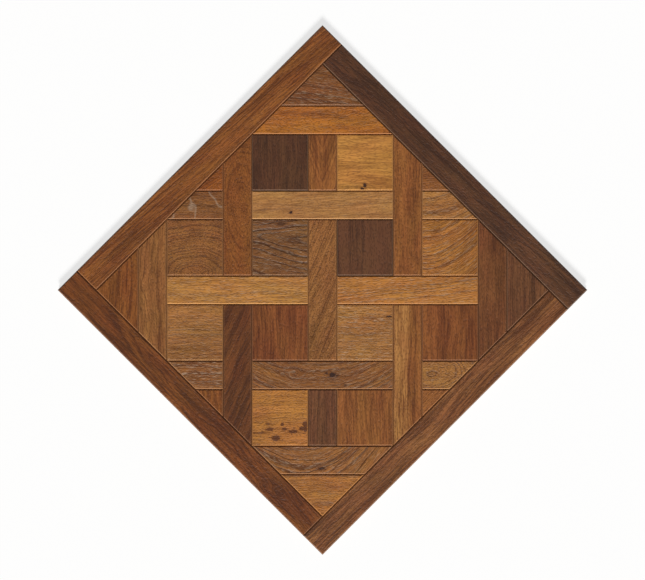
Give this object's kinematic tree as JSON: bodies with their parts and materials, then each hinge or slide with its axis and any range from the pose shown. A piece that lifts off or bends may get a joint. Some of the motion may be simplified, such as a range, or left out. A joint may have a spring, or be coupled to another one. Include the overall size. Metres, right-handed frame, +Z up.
{
  "type": "versailles parquet panel",
  "caption": "Square solid-oak parquet panel: pinwheel frame boards round a woven diagonal lattice of strips, blocks and triangles, tongued together, for laying as a floor.",
  "frame": {"origin": "middle of the panel's underside", "axes": "+Z up through the panel, out of its face; X and Y along its sides, and the lattice at 45 degrees"},
  "size_m": [0.8, 0.8, 0.02],
  "materials": {
    "fumed_oak": "oiled, satin, bevelled edges",
    "chestnut_oak": "oiled, satin, bevelled edges",
    "russet_oak": "oiled, satin, bevelled edges",
    "nut_brown_oak": "oiled, satin, bevelled edges",
    "tan_oak": "oiled, satin, bevelled edges",
    "honey_oak": "oiled, satin, bevelled edges"
  },
  "bodies": {
    "root": {"arm_strip_northwest": "honey_oak", "arm_strip_southeast": "honey_oak", "centre_strip": "nut_brown_oak", "corner_block_northeast_east": "honey_oak", "corner_block_northeast_north": "fumed_oak", "corner_block_northwest_north": "nut_brown_oak", "corner_block_northwest_west": "tan_oak", "corner_block_southeast_east": "tan_oak", "corner_block_southeast_south": "chestnut_oak", "corner_block_southwest_south": "russet_oak", "corner_block_southwest_west": "honey_oak", "corner_strip_northeast": "honey_oak", "corner_strip_northwest": "nut_brown_oak", "corner_strip_southeast": "chestnut_oak", "corner_strip_southwest": "nut_brown_oak", "corner_triangle_northeast": "nut_brown_oak", "corner_triangle_northwest": "tan_oak", "corner_triangle_southeast": "fumed_oak", "corner_triangle_southwest": "tan_oak", "cross_strip_northeast": "tan_oak", "cross_strip_southwest": "nut_brown_oak", "frame_board_east": "fumed_oak", "frame_board_north": "russet_oak", "frame_board_south": "chestnut_oak", "frame_board_west": "chestnut_oak", "inner_block_east": "fumed_oak", "inner_block_north": "nut_brown_oak", "inner_block_south": "tan_oak", "inner_block_west": "chestnut_oak", "neck_strip_northeast": "russet_oak", "neck_strip_southwest": "fumed_oak", "side_strip_east": "russet_oak", "side_strip_north": "russet_oak", "side_strip_south": "tan_oak", "side_strip_west": "fumed_oak", "side_stub_east": "tan_oak", "side_stub_north": "nut_brown_oak", "side_stub_south": "nut_brown_oak", "side_stub_west": "nut_brown_oak", "side_triangle_east": "russet_oak", "side_triangle_north": "russet_oak", "side_triangle_south": "russet_oak", "side_triangle_west": "russet_oak"}
  },
  "joints": []
}
